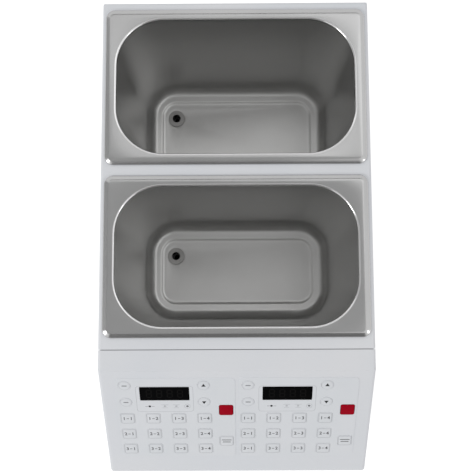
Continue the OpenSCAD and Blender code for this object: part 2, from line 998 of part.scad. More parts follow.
module drive_gear() {
    rotate([0, -90, 0])
        translate([0, 0, -gear_w / 2])
            linear_extrude(gear_w)
                gear_outline();
    bar(shaft_r, -gear_room_w / 2 - bearing_depth + 0.5, motor_in + 9);
}

module idler_gear() {
    rotate([0, -90, 0])
        translate([0, 0, -gear_w / 2])
            linear_extrude(gear_w)
                rotate(180 + 180 / gear_teeth)
                    gear_outline();
    bar(journal_r, -gear_room_w / 2 - bearing_depth + 0.5, gear_room_w / 2 + bearing_depth - 0.5);
}

module pump_outline() {
    translate([0, centre_dist / 2])
        round_rect(2 * pump_half, centre_dist + 2 * pump_half, 6);
}

module pump_unit() {
    x0 = -gear_room_w / 2;
    // body with its foot
    difference() {
        union() {
            across(x0, motor_in)
                pump_outline();
            translate([x0, -pump_half / 2, -shaft_h])
                cube([motor_in - x0, pump_half, shaft_h]);
            translate([x0 - pump_cover_t, -pump_half, -shaft_h])
                cube([motor_in - x0 + pump_cover_t, 2 * pump_half, 4]);
            // delivery barb to the front
            translate([0, -pump_half, port_h])
                rotate([90, 0, 0]) {
                    cylinder(r = hose_in_r + hose_wall, h = collar_len);
                    cylinder(r = barb_r, h = barb_len);
                }
            // suction elbow to the back and up
            translate([0, pump_half, port_h])
                rotate([-90, 0, 0])
                    cylinder(r = hose_in_r + hose_wall, h = collar_len);
            translate([0, pump_half + collar_len, port_h + elbow_r])
                rotate([0, 90, 0])
                    rotate_extrude(angle = 90)
                        translate([elbow_r, 0])
                            circle(r = barb_r);
            translate([0, elbow_out, port_h + elbow_r])
                cylinder(r = barb_r, h = hose_grip);
        }
        for (z = [0, centre_dist])
            translate([0, 0, z])
                bar(gear_room_r, x0 - cut, -x0);
        bar(shaft_r + fit_gap, x0, motor_in + cut);
        translate([0, 0, centre_dist])
            bar(journal_r + fit_gap, x0, -x0 + bearing_depth);
        translate([0, -pump_half - barb_len - cut, port_h])
            rotate([-90, 0, 0])
                cylinder(r = bore_r, h = 2 * pump_half + barb_len + collar_len + cut);
        translate([0, pump_half + collar_len, port_h + elbow_r])
            rotate([0, 90, 0])
                rotate_extrude(angle = 90)
                    translate([elbow_r, 0])
                        circle(r = bore_r);
        translate([0, elbow_out, port_h + elbow_r])
            cylinder(r = bore_r, h = hose_grip + cut);
    }
    // cover
    difference() {
        across(x0 - pump_cover_t, x0)
            pump_outline();
        bar(shaft_r + fit_gap, x0 - bearing_depth, x0 + cut);
        translate([0, 0, centre_dist])
            bar(journal_r + fit_gap, x0 - bearing_depth, x0 + cut);
    }
}

module pump_bodies() {
    color(bright_steel)
        pump_frames()
            pump_unit();
}

module pump_motors() {
    color(motor_grey)
        pump_frames()
            difference() {
                union() {
                    bar(motor_r, motor_in, motor_in + motor_len - 8);
                    bar(motor_r - 2, motor_in, motor_in + motor_len);
                    for (y = [-1, 1])
                        translate([motor_in + motor_len - 1, y * motor_r / 2 - 2, -0.5])
                            cube([7, 4, 1]);
                }
                bar(shaft_r + fit_gap, motor_in - cut, motor_in + 10);
            }
}

module front_drive_gear() {
    color(steel)
        translate([-drain_x, front_pump_y, shaft_z])
            drive_gear();
}

module front_idler_gear() {
    color(steel)
        translate([-drain_x, front_pump_y, shaft_z + centre_dist])
            idler_gear();
}

module rear_drive_gear() {
    color(steel)
        translate([drain_x, rear_pump_y, shaft_z])
            mirror([1, 0, 0])
                drive_gear();
}

module rear_idler_gear() {
    color(steel)
        translate([drain_x, rear_pump_y, shaft_z + centre_dist])
            mirror([1, 0, 0])
                idler_gear();
}

module syrup_hoses() {
    hose_top = outlet_end + hose_grip;
    elbow_low = elbow_top - hose_grip;
    color(clear_hose) {
        // suction of the front tank: straight down
        translate([-drain_x, front_drain_y, hose_top])
            rotate([180, 0, 0])
                hose([hose_top - elbow_low]);
        // suction of the rear tank: down, across, down
        translate([-drain_x, rear_drain_y, hose_top])
            rotate([180, 0, 0])
                hose([
                    hose_grip + 12,
                    ["turn", 0],
                    2 * drain_x - 2 * hose_bend,
                    ["turn", 180],
                    hose_top - hose_grip - 12 - 2 * hose_bend - elbow_low
                ]);
        // deliveries: forward, up behind the splash wall, forward through the head, down to the spout
        for (p = [[-drain_x, front_pump_y], [drain_x, rear_pump_y]])
            translate([p[0], p[1] - pump_half - collar_len, port_z])
                rotate([90, 0, 0])
                    hose([
                        p[1] - pump_half - collar_len - riser_y - hose_bend,
                        ["turn", 90],
                        run_z - port_z - 2 * hose_bend,
                        ["turn", 180],
                        riser_y - spout_y - 2 * hose_bend,
                        ["turn", 0],
                        run_z - hose_bend - head_z - wall_t - nut_h - 1
                    ]);
    }
}

spout_stud_r = 7;

module spouts() {
    color(bright_steel)
        spout_places() {
            difference() {
                union() {
                    translate([0, 0, -3])
                        cylinder(r = spout_flange_r, h = 3);
                    translate([0, 0, -spout_drop + 12])
                        cylinder(r = spout_r, h = spout_drop - 12);
                    translate([0, 0, -spout_drop])
                        cylinder(r1 = spout_tip_r, r2 = spout_r, h = 12);
                    translate([0, 0, -cut])
                        cylinder(r = spout_stud_r, h = wall_t + nut_h + 1 + cut);
                    cylinder(r = barb_r, h = wall_t + nut_h + 1 + hose_grip);
                }
                translate([0, 0, -spout_drop - cut])
                    cylinder(r = bore_r, h = far);
            }
            translate([0, 0, wall_t])
                difference() {
                    hexagon(nut_h);
                    translate([0, 0, -cut])
                        cylinder(r = spout_stud_r + fit_gap, h = nut_h + 2 * cut);
                }
        }
}

// ---- Keypads ----

module keypad_faces() {
    color(key_white)
        difference() {
            for (side = sides)
                on_panel(pad_centre(side), pad_s, 0)
                    slab(pad_w, pad_h, pad_r, pad_t);
            panel_holes(-cut, pad_t + cut);
        }
}

module display_windows() {
    color(black)
        for_pads() {
            on_panel(window_x, window_s, display_top)
                slab(window_w, window_h, 1, pad_t - display_top);
            for (x = light_xs)
                on_panel(x, light_s, display_top)
                    cylinder(r = light_r, h = pad_t - display_top);
        }
}

supply_l = 100;
supply_w = 64;
supply_lift = 6;
supply_x = -drain_x + 3;
supply_y = front_drain_y + elbow_r + supply_w / 2 + 24;

module circuit_boards() {
    color(board_green) {
        for (side = sides) {
            on_panel(pad_centre(side), pad_s, board_front - board_t)
                slab(board_w, board_len, 2, board_t);
            translate([pad_origin(side), 0, 0]) {
                for (k = keys)
                    on_panel(k[1], k[2], board_front)
                        translate([-switch_w / 2, -switch_w / 2, -board_t / 2])
                            cube([switch_w, switch_w, switch_h + board_t / 2]);
                on_panel(window_x, window_s, board_front - board_t / 2)
                    translate([-window_w / 2 - 0.5, -window_h / 2 - 0.5, 0])
                        cube([window_w + 1, window_h + 1, display_h + board_t / 2]);
                on_panel((light_xs[0] + light_xs[3]) / 2, light_s, board_front - board_t / 2)
                    translate([-23, -1.5, 0])
                        cube([46, 3, display_h + board_t / 2]);
            }
        }
        // supply board with its transformer, choke and capacitors
        translate([supply_x, supply_y, base_z + supply_lift]) {
            translate([-supply_l / 2, -supply_w / 2, 0])
                cube([supply_l, supply_w, board_t]);
            translate([-10, -16, 0])
                cube([34, 30, 26]);
            translate([-40, -24, 0])
                cube([20, 18, 16]);
            for (y = [-1, 1])
                translate([36, y * 14, 0])
                    cylinder(r = 8, h = 28);
        }
    }
}

// A key with its plunger, at its place on a keypad
module key(side, k) {
    translate([pad_origin(side), 0, 0])
        on_panel(k[1], k[2], 0) {
            translate([0, 0, key_bottom])
                linear_extrude(key_t)
                    key_shape(k[3], 0);
            translate([0, 0, plunger_end])
                cylinder(r = plunger_r, h = key_bottom - plunger_end + key_t / 2);
        }
}

// ---- Drip tray ----

tray_half = wall_in - tray_gap;
tray_back = splash_y - tray_gap;
tray_inner_y = front_y + tray_front_t;
tray_low = base_z + tray_lift;
grid_top = shelf_h - grid_sink;
ledge_top = grid_top - grid_t;
tray_mid = (tray_inner_y + tray_back) / 2;
tray_len = tray_back - tray_inner_y;

module drip_tray() {
    top = grid_top;
    color(bright_steel)
        difference() {
            union() {
                // front
                translate([-tray_half, front_y, tray_low])
                    cube([2 * tray_half, tray_front_t, shelf_h - tray_low]);
                // basin
                translate([0, tray_mid, tray_low])
                    linear_extrude(top - tray_low)
                        square([2 * tray_half, tray_len], center = true);
            }
            // hollow under the ledge
            translate([-tray_half + tray_t, tray_inner_y, tray_low + tray_t])
                cube([2 * tray_half - 2 * tray_t, tray_len - tray_t, ledge_top - 2 * tray_t - tray_low]);
            // way up past the ledge
            translate([-tray_half + tray_t + ledge_w, tray_inner_y + ledge_w, tray_low + 2 * tray_t])
                cube([2 * (tray_half - tray_t - ledge_w), tray_len - tray_t - 2 * ledge_w, far / 10]);
            // seat of the grid
            translate([-tray_half + tray_t, tray_inner_y, ledge_top])
                cube([2 * tray_half - 2 * tray_t, tray_len - tray_t, far / 10]);
            // finger notch
            translate([0, front_y - cut, shelf_h])
                rotate([-90, 0, 0])
                    slab(notch_w, 2 * notch_h, notch_h - 0.01, tray_front_t + 2 * cut);
        }
}

module drip_grid() {
    l = 2 * (tray_half - tray_t - grid_gap);
    w = tray_len - tray_t - 2 * grid_gap;
    mid = tray_inner_y + (tray_len - tray_t) / 2;
    slot_l = (w - 3 * grid_border) / 2;
    count = floor((l - 2 * grid_border - slot_w) / slot_pitch);
    color(bright_steel)
        translate([0, mid, ledge_top])
            difference() {
                slab(l, w, 3, grid_t);
                for (i = [0:count], y = [-1, 1])
                    translate([(i - count / 2) * slot_pitch, y * (slot_l + grid_border) / 2, -cut])
                        slab(slot_w, slot_l, slot_w / 2 - 0.01, grid_t + 2 * cut);
            }
}

// ---- Inlet ----

socket_z = -inlet_h / 2 + socket_h / 2 + 4;
rocker_z = inlet_h / 2 - rocker_h / 2 - 4;
rocker_pin_r = 1.25;

// The inlet module in its own frame: Y out of the rear cover, from the cover's face
module inlet_frame() {
    translate([inlet_x, shell_back + wall_t, inlet_z])
        children();
}

module power_inlet() {
    color(black)
        inlet_frame()
            difference() {
                union() {
                    translate([0, inlet_flange_t, 0])
                        rotate([90, 0, 0])
                            slab(inlet_w + 2 * inlet_lap, inlet_h + 2 * inlet_lap, 3, inlet_flange_t);
                    translate([0, cut, 0])
                        rotate([90, 0, 0])
                            slab(inlet_w, inlet_h, 1, inlet_depth + cut);
                }
                // socket with its three pins left standing
                difference() {
                    translate([0, inlet_flange_t + cut, socket_z])
                        rotate([90, 0, 0])
                            slab(socket_w, socket_h, 2, socket_depth + cut);
                    for (p = [[-7, -2], [0, 2], [7, -2]])
                        translate([p[0] - 1, inlet_flange_t - socket_depth - cut, socket_z + p[1] - 2])
                            cube([2, pin_len + cut, 4]);
                }
                // rocker well
                translate([0, inlet_flange_t + cut, rocker_z])
                    rotate([90, 0, 0])
                        slab(rocker_w + 0.8, rocker_h + 3, 0.5, 11 + cut);
                translate([0, inlet_flange_t - rocker_pivot_in, rocker_z])
                    bar(rocker_pin_r + fit_gap, -rocker_w / 2 - 2.5, rocker_w / 2 + 2.5);
            }
}

// The rocker, tilted to its off position
module power_rocker() {
    color(black)
        inlet_frame()
            translate([0, inlet_flange_t - rocker_pivot_in, rocker_z])
                rotate([-rocker_tilt, 0, 0]) {
                    across(-rocker_w / 2, rocker_w / 2)
                        polygon([
                            [-rocker_back, -4],
                            [-1, -rocker_end],
                            [rocker_edge, -rocker_end],
                            [rocker_edge / 2, 0],
                            [rocker_edge, rocker_end],
                            [-1, rocker_end],
                            [-rocker_back, 4]
                        ]);
                    bar(rocker_pin_r, -rocker_w / 2 - 2.3, rocker_w / 2 + 2.3);
                }
}

// ---- Everything in its place ----

base_pan();
body_shell();
rear_cover();
top_deck();
control_panel();
keypad_faces();
display_windows();
circuit_boards();
rear_tank();
front_tank();
tank_outlets();
syrup_hoses();
pump_bodies();
front_drive_gear();
front_idler_gear();
rear_drive_gear();
rear_idler_gear();
pump_motors();
spouts();
drip_tray();
drip_grid();
feet();
power_inlet();
power_rocker();
for (side = sides, k = keys)
    color(k[0] == "stop_key" ? red : key_white)
            key(side, k);
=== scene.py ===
# %% [markdown]
# # A counter dispenser for fructose syrup
#
# The real machine is a folded, powder-coated sheet cabinet with two drawn steel pans in its top.
# A CAD model already gives every part its size, its place and its motion. This lesson gives each
# part its surface: smooth drawn corners, printed key film, brushed trays, rubber and hose.
# The CAD model is loaded first and never changed. A part that needs a finer shape is copied or made again in
# Blender, and the CAD part it stands for is hidden.

# %% Load the CAD model
import json
import math

import bmesh
import bpy
from mathutils import Matrix, Vector

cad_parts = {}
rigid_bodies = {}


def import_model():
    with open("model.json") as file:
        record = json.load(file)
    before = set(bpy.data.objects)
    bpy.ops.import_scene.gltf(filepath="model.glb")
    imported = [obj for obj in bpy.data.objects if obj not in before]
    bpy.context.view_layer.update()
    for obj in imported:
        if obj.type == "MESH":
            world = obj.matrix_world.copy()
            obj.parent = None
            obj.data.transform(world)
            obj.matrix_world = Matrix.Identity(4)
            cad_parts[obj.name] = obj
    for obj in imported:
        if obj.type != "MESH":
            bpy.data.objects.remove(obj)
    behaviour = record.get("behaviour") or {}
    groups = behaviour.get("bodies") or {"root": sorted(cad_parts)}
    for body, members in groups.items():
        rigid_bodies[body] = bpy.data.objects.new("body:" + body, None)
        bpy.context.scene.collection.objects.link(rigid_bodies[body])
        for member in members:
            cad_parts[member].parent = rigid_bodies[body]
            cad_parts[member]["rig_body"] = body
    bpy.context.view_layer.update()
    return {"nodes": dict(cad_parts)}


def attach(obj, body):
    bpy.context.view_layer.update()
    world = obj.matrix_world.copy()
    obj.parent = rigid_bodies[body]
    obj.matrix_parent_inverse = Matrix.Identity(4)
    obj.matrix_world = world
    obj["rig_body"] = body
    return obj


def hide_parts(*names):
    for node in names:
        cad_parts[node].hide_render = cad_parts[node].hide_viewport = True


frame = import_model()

# %% [markdown]
# ## Camera
#
# The picture to match was taken from almost straight above, a little in front of the machine.
# A camera can be placed by hand until the edges agree. Here its place and its three turns were
# worked out from the machine's own edges, so they are simply written down: where it stands, how
# far it looks down, and how far it is turned and rolled.

# %% Place the camera
MM = 0.001
CAMERA_AT = Vector((4.75, -104.1, 1269.9)) * MM
CAMERA_TURN = math.radians(-2.23)
CAMERA_DOWN = math.radians(83.07)
CAMERA_ROLL = math.radians(-2.51)
LENS_MM, SENSOR_MM = 63.25, 36.0


def camera_matrix(place, turn, down, roll):
    """Where a camera stands and looks, as one matrix."""
    ahead = Vector((math.sin(turn) * math.cos(down), math.cos(turn) * math.cos(down), -math.sin(down)))
    right = Vector((math.cos(turn), -math.sin(turn), 0))
    up = right.cross(ahead)
    across = math.cos(roll) * right + math.sin(roll) * up
    above = math.cos(roll) * up - math.sin(roll) * right
    return Matrix.Translation(place) @ Matrix((across, above, -ahead)).transposed().to_4x4()


lens = bpy.data.cameras.new("studio_camera")
lens.lens, lens.sensor_width = LENS_MM, SENSOR_MM
camera = bpy.data.objects.new("studio_camera", lens)
camera.matrix_world = camera_matrix(CAMERA_AT, CAMERA_TURN, CAMERA_DOWN, CAMERA_ROLL)
bpy.context.scene.collection.objects.link(camera)
bpy.context.scene.camera = camera
print("camera height over the counter, mm:", round(CAMERA_AT.z / MM))

# %% [markdown]
# ## Helpers for shapes
#
# Every shape below is modelled in millimetres about a simple place, such as a key lying flat at
# the origin. One last step scales it to metres and carries it to its place on the machine, so the
# finished object itself stays at the origin, unturned. A rounded rectangle comes up again and
# again: it is one square face whose four corners are bevelled, and extruding it gives a slab.

# %% Sizes shared by several pieces, in millimetres
DECK_H = 446.0
FOLD_Y = -135.985
SLOPE = math.radians(41.004)
# how far the film and the keys stand out of the panel, and how thick print is
FACE_H, KEY_TOP, INK = 0.5, 0.8, 0.02


def panel_place(x, down, height=0.0):
    """A place on the sloping panel: X to the right, Y up the slope, Z out of the panel."""
    turn = Matrix.Translation((0, FOLD_Y, DECK_H)) @ Matrix.Rotation(SLOPE, 4, "X")
    return turn @ Matrix.Translation((x, -down, height))


print("deck height, mm:", DECK_H, "panel slope, degrees:", round(math.degrees(SLOPE), 1))


# %% Faces, slabs and outlines
def rounded_face(bm, length, width, radius, height=0.0, steps=8):
    """A flat rounded rectangle: one grid face with its corners bevelled."""
    verts = bmesh.ops.create_grid(bm, x_segments=1, y_segments=1, size=0.5)["verts"]
    bmesh.ops.scale(bm, vec=(length, width, 1), verts=verts)
    bmesh.ops.translate(bm, vec=(0, 0, height), verts=verts)
    made = bmesh.ops.bevel(bm, geom=verts, affect="VERTICES", offset=radius, segments=steps,
                           profile=0.5, material=-1)
    return made["verts"][0].link_faces[0]


def round_face(bm, radius, height=0.0, steps=40):
    """A flat disc."""
    verts = bmesh.ops.create_circle(bm, cap_ends=True, segments=steps, radius=radius)["verts"]
    bmesh.ops.translate(bm, vec=(0, 0, height), verts=verts)
    return verts[0].link_faces[0]


def raise_faces(bm, faces, height, edge=0.0):
    """Extrudes faces upward into a closed body. An edge size rounds its top rim."""
    made = bmesh.ops.extrude_face_region(bm, geom=faces)["geom"]
    verts = [v for v in made if isinstance(v, bmesh.types.BMVert)]
    bmesh.ops.translate(bm, vec=(0, 0, height), verts=verts)
    if edge:
        top = next(f for f in made if isinstance(f, bmesh.types.BMFace))
        bmesh.ops.bevel(bm, geom=list(top.edges), affect="EDGES", offset=edge, segments=3,
                        profile=0.5, material=-1)


def outline(bm, face, line, height):
    """Turns a flat face into a thin raised line that runs round its border."""
    border = bmesh.ops.inset_region(bm, faces=[face], thickness=line, use_even_offset=True,
                                    use_boundary=True)["faces"]
    bmesh.ops.delete(bm, geom=[face], context="FACES_ONLY")
    raise_faces(bm, border, height)


bm = bmesh.new()
raise_faces(bm, [rounded_face(bm, 10, 10, 2)], 2, edge=0.3)
print("faces of a small trial slab:", len(bm.faces))
bm.free()

# %% Finished pieces
# points nearer than WELD, in millimetres, become one
WELD = 0.0005
SHARP_ANGLE = 35


def add_piece(bm, name, body, material, place, stands_for=(), angle=SHARP_ANGLE, closed=True):
    """Makes an object of a bmesh in millimetres, smooth-shaded, riding on its CAD body."""
    bmesh.ops.remove_doubles(bm, verts=bm.verts, dist=WELD)
    if closed:
        bmesh.ops.recalc_face_normals(bm, faces=bm.faces)
    bmesh.ops.transform(bm, matrix=Matrix.Scale(MM, 4) @ place, verts=bm.verts)
    mesh = bpy.data.meshes.new(name)
    bm.to_mesh(mesh)
    bm.free()
    return show_mesh(mesh, name, body, [material], stands_for, angle)


def show_mesh(mesh, name, body, materials, stands_for=(), angle=SHARP_ANGLE):
    """Puts a mesh in the scene with its finish and its body, and hides the CAD parts it stands for."""
    mesh.shade_smooth()
    mesh.set_sharp_from_angle(angle=math.radians(angle))
    thing = bpy.data.objects.new(name, mesh)
    bpy.context.scene.collection.objects.link(thing)
    for material in materials:
        mesh.materials.append(material)
    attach(thing, body)
    if stands_for:
        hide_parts(*stands_for)
    return thing


print("edges sharper than", SHARP_ANGLE, "degrees stay crisp")

# %% CAD parts with a joined skin
# the same for a CAD part, which is in metres
CAD_WELD = 1e-6


def dress(node_name, materials, choose=None):
    """Shows a CAD part as a merged, smooth-shaded copy. choose(face) picks a face's material."""
    part = frame["nodes"][node_name]
    bm = bmesh.new()
    bm.from_mesh(part.data)
    bmesh.ops.remove_doubles(bm, verts=bm.verts, dist=CAD_WELD)
    for face in bm.faces:
        face.material_index = choose(face) if choose else 0
    mesh = bpy.data.meshes.new(node_name + "_skin")
    bm.to_mesh(mesh)
    bm.free()
    if "custom_normal" in mesh.attributes:
        mesh.attributes.remove(mesh.attributes["custom_normal"])
    thing = show_mesh(mesh, node_name + "_skin", part["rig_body"], materials, [node_name])
    flat = thing.modifiers.new("even_shading", "WEIGHTED_NORMAL")
    flat.keep_sharp = True
    return thing


# %% [markdown]
# ## Helpers for finishes
#
# A flat colour looks like nothing in particular. Real paint has a faint skin like orange peel,
# and real steel has fine scratches that run one way. Each finish below starts from one shader and
# adds noise patterns to its colour, its roughness and its bump. The patterns read the object's own
# coordinates in metres, so a noise scale of 1000 has spots about a millimetre wide.


# %% Colours and node helpers
def colour(red, green, blue):
    """A colour written from 0 to 255, as in a picture program, in Blender's linear light."""
    linear = [v / 255 / 12.92 if v <= 10 else ((v / 255 + 0.055) / 1.055) ** 2.4 for v in (red, green, blue)]
    return (*linear, 1.0)


def finish(name, base, roughness, metallic=0.0, **sockets):
    """A new material. Everything that is the same all over sits on the shader's own sockets."""
    material = bpy.data.materials.new(name)
    material.use_nodes = True
    material.diffuse_color = base
    values = {"Base Color": base, "Roughness": roughness, "Metallic": metallic}
    values.update({key.replace("_", " "): value for key, value in sockets.items()})
    for socket, value in values.items():
        shader_input(material, socket).default_value = value
    return material


def shader_input(material, socket):
    """A socket of the material's shader."""
    return material.node_tree.nodes["Principled BSDF"].inputs[socket]


def node(material, kind, inputs=None, **settings):
    """One node. A socket given as an input is linked, and a plain value is set."""
    made = material.node_tree.nodes.new(kind)
    for key, value in settings.items():
        setattr(made, key, value)
    for key, value in (inputs or {}).items():
        if isinstance(value, bpy.types.NodeSocket):
            material.node_tree.links.new(value, made.inputs[key])
        else:
            made.inputs[key].default_value = value
    return made


def feed(material, socket, value):
    """Links a pattern to the material's shader."""
    material.node_tree.links.new(value, shader_input(material, socket))


print("a grey of 128 in linear light:", round(colour(128, 128, 128)[0], 3))


# %% Patterns on the object's own coordinates
def object_place(material):
    """The object's own coordinates, in metres."""
    return node(material, "ShaderNodeTexCoord").outputs["Object"]


def grain(material, scale, stretch=(1, 1, 1), detail=3.0):
    """Noise on the object's own coordinates. A small stretch value draws it out along that axis."""
    turned = node(material, "ShaderNodeMapping", {"Vector": object_place(material), "Scale": stretch})
    noise = {"Vector": turned.outputs["Vector"], "Scale": scale, "Detail": detail}
    return node(material, "ShaderNodeTexNoise", noise).outputs["Fac"]


def between(material, factor, low, high, start=0.3, end=0.7):
    """Spreads a pattern between two numbers. Noise rarely leaves 0.3 to 0.7."""
    spread = {"Value": factor, "From Min": start, "From Max": end, "To Min": low, "To Max": high}
    return node(material, "ShaderNodeMapRange", spread).outputs["Result"]


def tinted(material, factor, first, second):
    """Mixes two colours by a pattern."""
    return node(material, "ShaderNodeMix", {0: factor, 6: first, 7: second}, data_type="RGBA").outputs[2]


def dent(material, factor, strength, depth):
    """Bump: the pattern is read as a height of at most depth, in metres."""
    bump = node(material, "ShaderNodeBump", {"Height": factor, "Strength": strength, "Distance": depth})
    feed(material, "Normal", bump.outputs["Normal"])


print("spots of a noise of scale 650, mm wide:", round(1 / 650 / MM, 1))

# %% [markdown]
# ## Powder coat
#
# The cabinet is folded from sheet steel and powder-coated a cool white. The baked powder levels
# out into shallow ripples a millimetre or two wide, and large areas are never quite one tone.
# Two noises do this: a fine one for ripples and roughness, a wide one for the tone. Modelling the
# ripples would take millions of faces, and bump shows them as well.

# %% White powder coat
powder_coat = finish("powder_coat", colour(218, 220, 224), 0.42)
ripples = grain(powder_coat, 650, detail=2.0)
tone = between(powder_coat, grain(powder_coat, 7, detail=2.0), 0.0, 1.0)
feed(powder_coat, "Base Color", tinted(powder_coat, tone, colour(215, 218, 223), colour(221, 222, 225)))
feed(powder_coat, "Roughness", between(powder_coat, ripples, 0.36, 0.48))
dent(powder_coat, ripples, 0.25, 0.00012)
print("powder coat nodes:", len(powder_coat.node_tree.nodes))

# %% [markdown]
# ## Steel
#
# The pans are drawn from one sheet. Drawing stretches the metal, which leaves the inside dull, while the flange
# stays smooth. The bend round the mouth is smoother still and painted brighter, which is a painted highlight,
# and the floor is painted lighter than the walls, which is painted light. Two materials could be painted on by
# hand. Here the object's own height tells inside from outside, because that needs no painting. Trays and the
# grid are brushed sheet, fittings are turned or cast.


# %% Brushed steel
def brushed(name, light, dark, roughness, stretch, scale=1100, bump=0.3, spread=0.13):
    """Steel with fine scratches along one axis."""
    steel = finish(name, light, roughness, metallic=1.0)
    lines = grain(steel, scale, stretch, detail=4.0)
    cloud = between(steel, grain(steel, 14, detail=2.0), 0.0, 1.0)
    feed(steel, "Base Color", tinted(steel, cloud, dark, light))
    feed(steel, "Roughness", between(steel, lines, roughness - spread * 0.4, roughness + spread * 0.6))
    dent(steel, lines, bump, 0.00003)
    return steel


SMOOTH = {"stretch": (0.02, 1, 1), "scale": 2400, "bump": 0.015, "spread": 0.03}
pan_steel = brushed("drawn_steel", colour(187, 187, 187), colour(182, 182, 182), 0.22, **SMOOTH)
print("nodes of the brushed steel:", len(pan_steel.node_tree.nodes))

# %% Pan steel: smooth on the flange, dull inside, with painted light on the floor
RIM_Z = DECK_H + 4.2
FLOOR_Z = RIM_Z - 200
INSIDE_DULLER = 0.15


def feeding(material, socket):
    """The pattern that already feeds a socket of the material's shader."""
    return shader_input(material, socket).links[0].from_socket


def above(material, low, high):
    """0 below one height on the object and 1 above another, both in millimetres."""
    height = node(material, "ShaderNodeSeparateXYZ", {"Vector": object_place(material)}).outputs["Z"]
    return between(material, height, 0.0, 1.0, low * MM, high * MM)


outside = above(pan_steel, RIM_Z - 6, RIM_Z - 1.5)
# painted light: the floor is painted lighter than the walls, fading over its first 6 mm up
drawn = tinted(pan_steel, above(pan_steel, FLOOR_Z, FLOOR_Z + 6), colour(205, 205, 204), colour(190, 190, 189))
stains = between(pan_steel, grain(pan_steel, 22, detail=3.0), 0.0, 0.4)
drawn = tinted(pan_steel, stains, drawn, colour(195, 194, 193))
feed(pan_steel, "Base Color", tinted(pan_steel, outside, drawn, feeding(pan_steel, "Base Color")))
more = between(pan_steel, outside, INSIDE_DULLER, 0.0, 0.0, 1.0)
duller = node(pan_steel, "ShaderNodeMath", {0: feeding(pan_steel, "Roughness"), 1: more}, operation="ADD")
feed(pan_steel, "Roughness", duller.outputs[0])
print("nodes of the pan steel:", len(pan_steel.node_tree.nodes))

# %% Other metals
# the mouth's bend: a smoother steel, painted brighter as a painted highlight
mouth_highlight_steel = brushed("polished_mouth_painted_highlight", colour(228, 228, 228), colour(222, 222, 222), 0.16, **SMOOTH)
tray_steel = brushed("brushed_sheet", colour(190, 190, 189), colour(178, 178, 177), 0.3, (0.02, 1, 1))
drain_steel = brushed("drain_steel", colour(172, 171, 169), colour(160, 159, 158), 0.42, (1, 1, 0.1), 1600)
turned_steel = brushed("turned_steel", colour(196, 195, 193), colour(184, 183, 181), 0.22, (1, 1, 0.1), 1600)
gear_steel = brushed("ground_steel", colour(172, 172, 173), colour(156, 156, 158), 0.26, (0.05, 1, 1), 1800)
alloy = brushed("cast_alloy", colour(184, 185, 187), colour(164, 165, 168), 0.46, (1, 1, 1), 900)
brass = brushed("nickel_brass", colour(200, 180, 132), colour(186, 164, 116), 0.24, (1, 0.1, 1), 1500)
metals = (pan_steel, mouth_highlight_steel, tray_steel, drain_steel, turned_steel, gear_steel, alloy, brass)
print("metals made:", [metal.name for metal in metals])

# %% [markdown]
# ## Film, print and plastics
#
# Keypads are covered with a fine-grained polyester film. Its colours are printed: pale grey
# outlines, dark grey numbers, black arrows and a red key on each side. The display sits behind a
# smoked window. The inlet is grained black plastic and the feet are rubber. One recipe serves
# them all, because moulded and printed plastics differ mostly in colour, grain and gloss.


# %% Film and inks
def plastic(name, light, dark, roughness, scale, depth, strength=0.3, **sockets):
    """Moulded or printed plastic: a fine grain for roughness and bump, a slow change of tone."""
    made = finish(name, light, roughness, **sockets)
    spots = grain(made, scale, detail=2.0)
    slow = between(made, grain(made, 30, detail=2.0), 0.0, 1.0)
    feed(made, "Base Color", tinted(made, slow, dark, light))
    feed(made, "Roughness", between(made, spots, roughness - 0.04, roughness + 0.07))
    dent(made, spots, strength, depth)
    return made


def ink(name, light, dark, **sockets):
    """Printed colour on the film."""
    return plastic(name, light, dark, 0.5, 2600, 0.00002, **sockets)


earlier = len(bpy.data.materials)
key_film = plastic("key_film", colour(219, 221, 225), colour(216, 219, 223), 0.44, 2600, 0.00003)
red_film = plastic("red_film", colour(160, 0, 27), colour(152, 0, 24), 0.5, 2600, 0.00003,
                   Specular_IOR_Level=0.05)
# painted light: the film's sides and rolled edge are painted paler than its top, to lift their shade
film_side_painted_light = ink("film_side_painted_light", colour(236, 238, 241), colour(232, 234, 238))
outline_ink = ink("outline_ink", colour(188, 190, 194), colour(182, 185, 189))
pale_ink = ink("pale_ink", colour(204, 206, 210), colour(200, 202, 206))
number_ink = ink("number_ink", colour(62, 63, 66), colour(54, 55, 58))
faint_ink = ink("faint_ink", colour(140, 142, 146), colour(132, 134, 138))
white_ink = ink("white_ink", colour(222, 222, 220), colour(214, 214, 212))
black_ink = ink("black_ink", colour(20, 20, 22), colour(14, 14, 16), Specular_IOR_Level=0.2)
print("films and inks made:", len(bpy.data.materials) - earlier)

# %% Windows, plastics, rubber and hose
earlier = len(bpy.data.materials)
smoked_window = plastic("smoked_window", colour(5, 5, 6), colour(4, 4, 5), 0.2, 1500, 0.00001, 0.1,
                        Specular_IOR_Level=0.02)
unlit_segment = plastic("unlit_segment", colour(23, 22, 22), colour(20, 19, 19), 0.3, 1500, 0.00001,
                        Specular_IOR_Level=0.02)
lens_grey = plastic("lens_grey", colour(192, 194, 198), colour(186, 188, 192), 0.25, 1500, 0.00001)
lens_dark = plastic("lens_dark", colour(104, 106, 110), colour(96, 98, 102), 0.25, 1500, 0.00001)
black_plastic = plastic("black_plastic", colour(34, 34, 36), colour(27, 27, 29), 0.5, 1700, 0.00008)
rocker_plastic = plastic("rocker_plastic", colour(28, 28, 30), colour(24, 24, 26), 0.28, 1700, 0.00002)
rubber = plastic("foot_rubber", colour(36, 36, 37), colour(27, 27, 28), 0.72, 1300, 0.00012)
hose_silicone = plastic("hose_silicone", colour(214, 210, 196), colour(204, 199, 182), 0.34, 500, 0.00004,
                        Transmission_Weight=0.25, IOR=1.41)
motor_paint = plastic("motor_paint", colour(92, 95, 100), colour(78, 81, 86), 0.4, 800, 0.0001)
